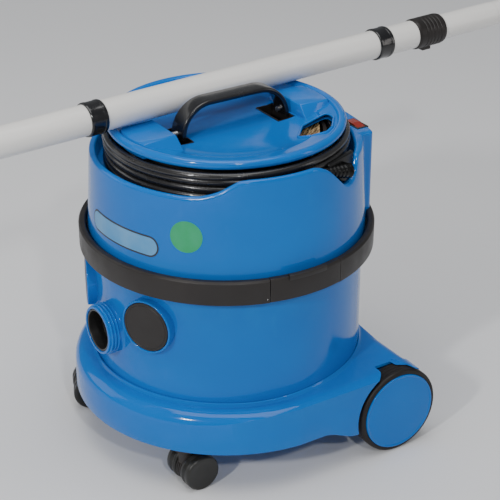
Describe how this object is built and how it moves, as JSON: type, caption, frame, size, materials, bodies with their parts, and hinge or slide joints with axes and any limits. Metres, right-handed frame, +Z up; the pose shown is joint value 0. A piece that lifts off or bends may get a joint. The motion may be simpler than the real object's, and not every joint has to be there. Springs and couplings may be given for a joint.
{
  "type": "canister vacuum cleaner",
  "caption": "Tub vacuum cleaner: round drum on a wheeled chassis, motor head with a wound mains lead and a folding carrying handle, and a telescopic wand resting on top.",
  "frame": {"origin": "on the floor under the middle of the whole assembly, on the drum's axis", "axes": "+Z up along the drum's axis, -Y the hose inlet's side, +X the side of the lead's gland and the tool opening"},
  "size_m": [0.347, 0.9017, 0.4024],
  "materials": {
    "blue_shell": "smooth moulded, semi-gloss",
    "black_trim": "satin moulded",
    "black_gloss": "gloss moulded",
    "tyre": "moulded tread",
    "castor_rubber": "moulded nylon",
    "black_rubber": "matte",
    "lead_sheath": "gloss sheath",
    "wand_coating": "satin coating",
    "steel": "plated",
    "motor_metal": "bare",
    "bag_cloth": "non-woven",
    "filter_cloth": "felt",
    "bristle": "coarse",
    "switch_red": "gloss"
  },
  "bodies": {
    "base": {"base_chassis": "blue_shell", "drum": "blue_shell", "drum_screws": "steel", "hose_inlet": "blue_shell", "inlet_lining": "black_rubber", "trim_disc_right": "black_trim", "trim_disc_left": "black_trim", "band_front": "black_trim", "band_rear": "black_trim", "latch_pin_right": "steel", "latch_pin_left": "steel", "drum_seal": "black_rubber", "filter_ring": "black_trim", "filter_cone": "filter_cloth", "dust_bag": "bag_cloth", "bag_collar": "black_trim", "stub_axle_right": "steel", "stub_axle_left": "steel"},
    "wheel_right": {"tyre_right": "tyre", "wheel_core_right": "black_trim", "hub_cap_right": "blue_shell"},
    "wheel_left": {"tyre_left": "tyre", "wheel_core_left": "black_trim", "hub_cap_left": "blue_shell"},
    "castor_right": {"castor_right_hood": "black_trim", "castor_right_axle": "steel"},
    "castor_right_rollers": {"castor_right_wheels": "castor_rubber"},
    "castor_left": {"castor_left_hood": "black_trim", "castor_left_axle": "steel"},
    "castor_left_rollers": {"castor_left_wheels": "castor_rubber"},
    "latch_right": {"latch_right": "black_trim"},
    "latch_left": {"latch_left": "black_trim"},
    "head": {"head_cover": "blue_shell", "motor_plate": "black_trim", "motor_housing": "motor_metal", "cable_hub": "black_trim", "mains_lead_winding": "lead_sheath", "mains_lead_tail": "lead_sheath", "mains_plug": "lead_sheath", "strain_relief": "black_rubber", "lead_gland": "black_trim", "lid": "blue_shell", "lid_screws": "steel", "handle_pin_front": "steel", "handle_pin_rear": "steel", "switch_bezel": "black_trim", "brush_body": "black_trim", "brush_bristles": "bristle"},
    "rotor": {"motor_rotor": "motor_metal"},
    "handle": {"handle": "black_gloss"},
    "switch": {"switch_rocker": "switch_red"},
    "wand": {"wand_outer_tube": "wand_coating", "wand_collar_front": "black_trim", "wand_collar_rear": "black_trim", "wand_lock_sleeve": "black_trim"},
    "wand_inner": {"wand_inner_tube": "wand_coating"},
    "wand_button": {"wand_lock_button": "black_trim"}
  },
  "joints": [
    {"name": "wheel_right_spin", "type": "hinge", "parent": "base", "child": "wheel_right", "pos_m": [0.16, 0.114, 0.0495], "axis": [1, 0, 0], "continuous": true},
    {"name": "wheel_left_spin", "type": "hinge", "parent": "base", "child": "wheel_left", "pos_m": [-0.16, 0.114, 0.0495], "axis": [1, 0, 0], "continuous": true},
    {"name": "castor_right_swivel", "type": "hinge", "parent": "base", "child": "castor_right", "pos_m": [0.1, -0.115, 0.05], "axis": [0, 0, 1], "continuous": true},
    {"name": "castor_right_roll", "type": "hinge", "parent": "castor_right", "child": "castor_right_rollers", "pos_m": [0.1, -0.107, 0.02], "axis": [1, 0, 0], "continuous": true},
    {"name": "castor_left_swivel", "type": "hinge", "parent": "base", "child": "castor_left", "pos_m": [-0.1, -0.115, 0.05], "axis": [0, 0, 1], "continuous": true},
    {"name": "castor_left_roll", "type": "hinge", "parent": "castor_left", "child": "castor_left_rollers", "pos_m": [-0.10338, -0.12225, 0.02], "axis": [0.9063, -0.4226, 0], "continuous": true},
    {"name": "latch_right_flip", "type": "hinge", "parent": "base", "child": "latch_right", "pos_m": [0.1515, 0, 0.2275], "axis": [0, 1, 0], "range_deg": [0, 60]},
    {"name": "latch_left_flip", "type": "hinge", "parent": "base", "child": "latch_left", "pos_m": [-0.1515, 0, 0.2275], "axis": [0, -1, 0], "range_deg": [0, 60]},
    {"name": "head_lift", "type": "slide", "parent": "base", "child": "head", "axis": [0, 0, 1], "range_m": [0, 0.15]},
    {"name": "motor_spin", "type": "hinge", "parent": "head", "child": "rotor", "pos_m": [0, 0, 0.27], "axis": [0, 0, 1], "continuous": true},
    {"name": "handle_fold", "type": "hinge", "parent": "head", "child": "handle", "pos_m": [0, 0.006, 0.357], "axis": [0, 1, 0], "range_deg": [0, 62]},
    {"name": "power_switch", "type": "hinge", "parent": "head", "child": "switch", "pos_m": [0.046, 0.136, 0.3385], "axis": [0, -1, 0], "range_deg": [0, 10]},
    {"name": "wand_lift", "type": "slide", "parent": "head", "child": "wand", "axis": [0, 0, 1], "range_m": [0, 0.12]},
    {"name": "wand_telescope", "type": "slide", "parent": "wand", "child": "wand_inner", "axis": [-0.0579, 0.9983, 0], "range_m": [-0.12, 0.2]},
    {"name": "wand_lock", "type": "slide", "parent": "wand", "child": "wand_button", "axis": [-0.0579, 0.9983, 0], "range_m": [0, 0.006]}
  ]
}
